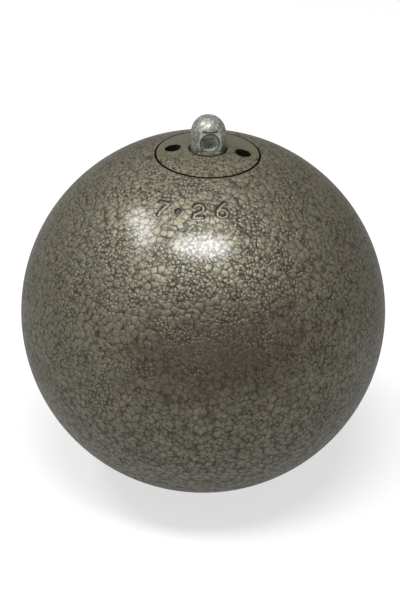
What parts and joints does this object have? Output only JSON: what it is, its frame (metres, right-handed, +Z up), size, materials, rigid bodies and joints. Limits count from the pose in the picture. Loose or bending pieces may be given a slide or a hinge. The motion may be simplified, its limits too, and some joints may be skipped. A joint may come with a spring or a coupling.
{
  "type": "throwing hammer head",
  "caption": "Head of a throwing hammer: a painted cast ball, a flush bearing cap with spanner holes, and a domed swivel spindle with an eye for the wire.",
  "frame": {"origin": "centre of the ball", "axes": "+Z up along the spindle, which turns about it; the wire eye runs along Y between the two milled flats"},
  "size_m": [0.124, 0.124, 0.1354],
  "materials": {
    "hammertone_paint": "glossy hammer-finish enamel",
    "spindle_steel": "worn zinc-plated steel",
    "fastener_steel": "bright zinc-plated",
    "bearing_steel": "ground and polished",
    "bronze": "machined",
    "seal_rubber": "matt",
    "lead": "dull cast lead"
  },
  "bodies": {
    "head": {"ball_shell": "hammertone_paint", "bearing_cap": "hammertone_paint", "cap_gasket": "seal_rubber", "guide_bush": "bronze", "dust_seal": "seal_rubber", "upper_race": "bearing_steel", "ballast_plug": "lead"},
    "swivel": {"spindle": "spindle_steel", "lower_race": "bearing_steel", "thrust_washer": "fastener_steel", "castle_nut": "fastener_steel", "split_pin": "fastener_steel"},
    "cage": {"ball_cage": "bronze"},
    "rolling_ball_01": {"bearing_ball_01": "bearing_steel"},
    "rolling_ball_02": {"bearing_ball_02": "bearing_steel"},
    "rolling_ball_03": {"bearing_ball_03": "bearing_steel"},
    "rolling_ball_04": {"bearing_ball_04": "bearing_steel"},
    "rolling_ball_05": {"bearing_ball_05": "bearing_steel"},
    "rolling_ball_06": {"bearing_ball_06": "bearing_steel"},
    "rolling_ball_07": {"bearing_ball_07": "bearing_steel"},
    "rolling_ball_08": {"bearing_ball_08": "bearing_steel"},
    "rolling_ball_09": {"bearing_ball_09": "bearing_steel"},
    "rolling_ball_10": {"bearing_ball_10": "bearing_steel"}
  },
  "joints": [
    {"name": "swivel_turn", "type": "hinge", "parent": "head", "child": "swivel", "pos_m": [0, 0, 0.06552], "axis": [0, 0, 1], "continuous": true},
    {"name": "cage_turn", "type": "hinge", "parent": "head", "child": "cage", "pos_m": [0, 0, 0.04787], "axis": [0, 0, 1], "continuous": true},
    {"name": "ball_roll_01", "type": "hinge", "parent": "cage", "child": "rolling_ball_01", "pos_m": [0.01, 0, 0.04787], "axis": [1, 0, 0], "continuous": true},
    {"name": "ball_roll_02", "type": "hinge", "parent": "cage", "child": "rolling_ball_02", "pos_m": [0.00809, 0.00588, 0.04787], "axis": [0.809, 0.5878, 0], "continuous": true},
    {"name": "ball_roll_03", "type": "hinge", "parent": "cage", "child": "rolling_ball_03", "pos_m": [0.00309, 0.00951, 0.04787], "axis": [0.309, 0.9511, 0], "continuous": true},
    {"name": "ball_roll_04", "type": "hinge", "parent": "cage", "child": "rolling_ball_04", "pos_m": [-0.00309, 0.00951, 0.04787], "axis": [-0.309, 0.9511, 0], "continuous": true},
    {"name": "ball_roll_05", "type": "hinge", "parent": "cage", "child": "rolling_ball_05", "pos_m": [-0.00809, 0.00588, 0.04787], "axis": [-0.809, 0.5878, 0], "continuous": true},
    {"name": "ball_roll_06", "type": "hinge", "parent": "cage", "child": "rolling_ball_06", "pos_m": [-0.01, 0, 0.04787], "axis": [-1, 0, 0], "continuous": true},
    {"name": "ball_roll_07", "type": "hinge", "parent": "cage", "child": "rolling_ball_07", "pos_m": [-0.00809, -0.00588, 0.04787], "axis": [-0.809, -0.5878, 0], "continuous": true},
    {"name": "ball_roll_08", "type": "hinge", "parent": "cage", "child": "rolling_ball_08", "pos_m": [-0.00309, -0.00951, 0.04787], "axis": [-0.309, -0.9511, 0], "continuous": true},
    {"name": "ball_roll_09", "type": "hinge", "parent": "cage", "child": "rolling_ball_09", "pos_m": [0.00309, -0.00951, 0.04787], "axis": [0.309, -0.9511, 0], "continuous": true},
    {"name": "ball_roll_10", "type": "hinge", "parent": "cage", "child": "rolling_ball_10", "pos_m": [0.00809, -0.00588, 0.04787], "axis": [0.809, -0.5878, 0], "continuous": true}
  ],
  "couplings": [
    {"joint": "cage_turn", "follows": "swivel_turn", "ratio": 0.5},
    {"joint": "ball_roll_01", "follows": "swivel_turn", "ratio": 2},
    {"joint": "ball_roll_02", "follows": "swivel_turn", "ratio": 2},
    {"joint": "ball_roll_03", "follows": "swivel_turn", "ratio": 2},
    {"joint": "ball_roll_04", "follows": "swivel_turn", "ratio": 2},
    {"joint": "ball_roll_05", "follows": "swivel_turn", "ratio": 2},
    {"joint": "ball_roll_06", "follows": "swivel_turn", "ratio": 2},
    {"joint": "ball_roll_07", "follows": "swivel_turn", "ratio": 2},
    {"joint": "ball_roll_08", "follows": "swivel_turn", "ratio": 2},
    {"joint": "ball_roll_09", "follows": "swivel_turn", "ratio": 2},
    {"joint": "ball_roll_10", "follows": "swivel_turn", "ratio": 2}
  ]
}
